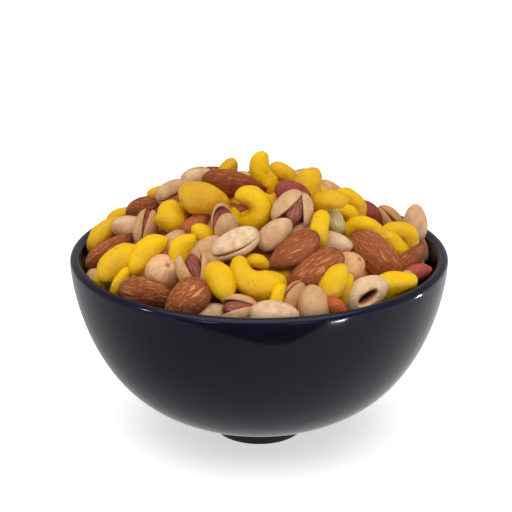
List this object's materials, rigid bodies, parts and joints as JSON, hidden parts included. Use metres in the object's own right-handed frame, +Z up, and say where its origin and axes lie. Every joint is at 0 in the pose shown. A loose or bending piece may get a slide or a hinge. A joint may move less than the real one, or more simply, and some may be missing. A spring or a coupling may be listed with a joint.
{
  "type": "bowl of mixed nuts",
  "caption": "Round glazed bowl on a small foot ring, heaped above its rim with mixed nuts: almonds, cashews, pistachios in their shells, hazelnuts and red peanuts.",
  "frame": {"origin": "middle of the foot ring's underside, on the surface that the bowl stands on", "axes": "+Z up along the bowl's axis of revolution, -Y towards the front that the picture shows"},
  "size_m": [0.14, 0.14, 0.1101],
  "materials": {
    "glaze": "glossy dark navy glaze",
    "nuts": "dry roasted nuts, yellow, brown and cream"
  },
  "bodies": {
    "root": {"bowl": "glaze", "nut_heap": "nuts"}
  },
  "joints": []
}
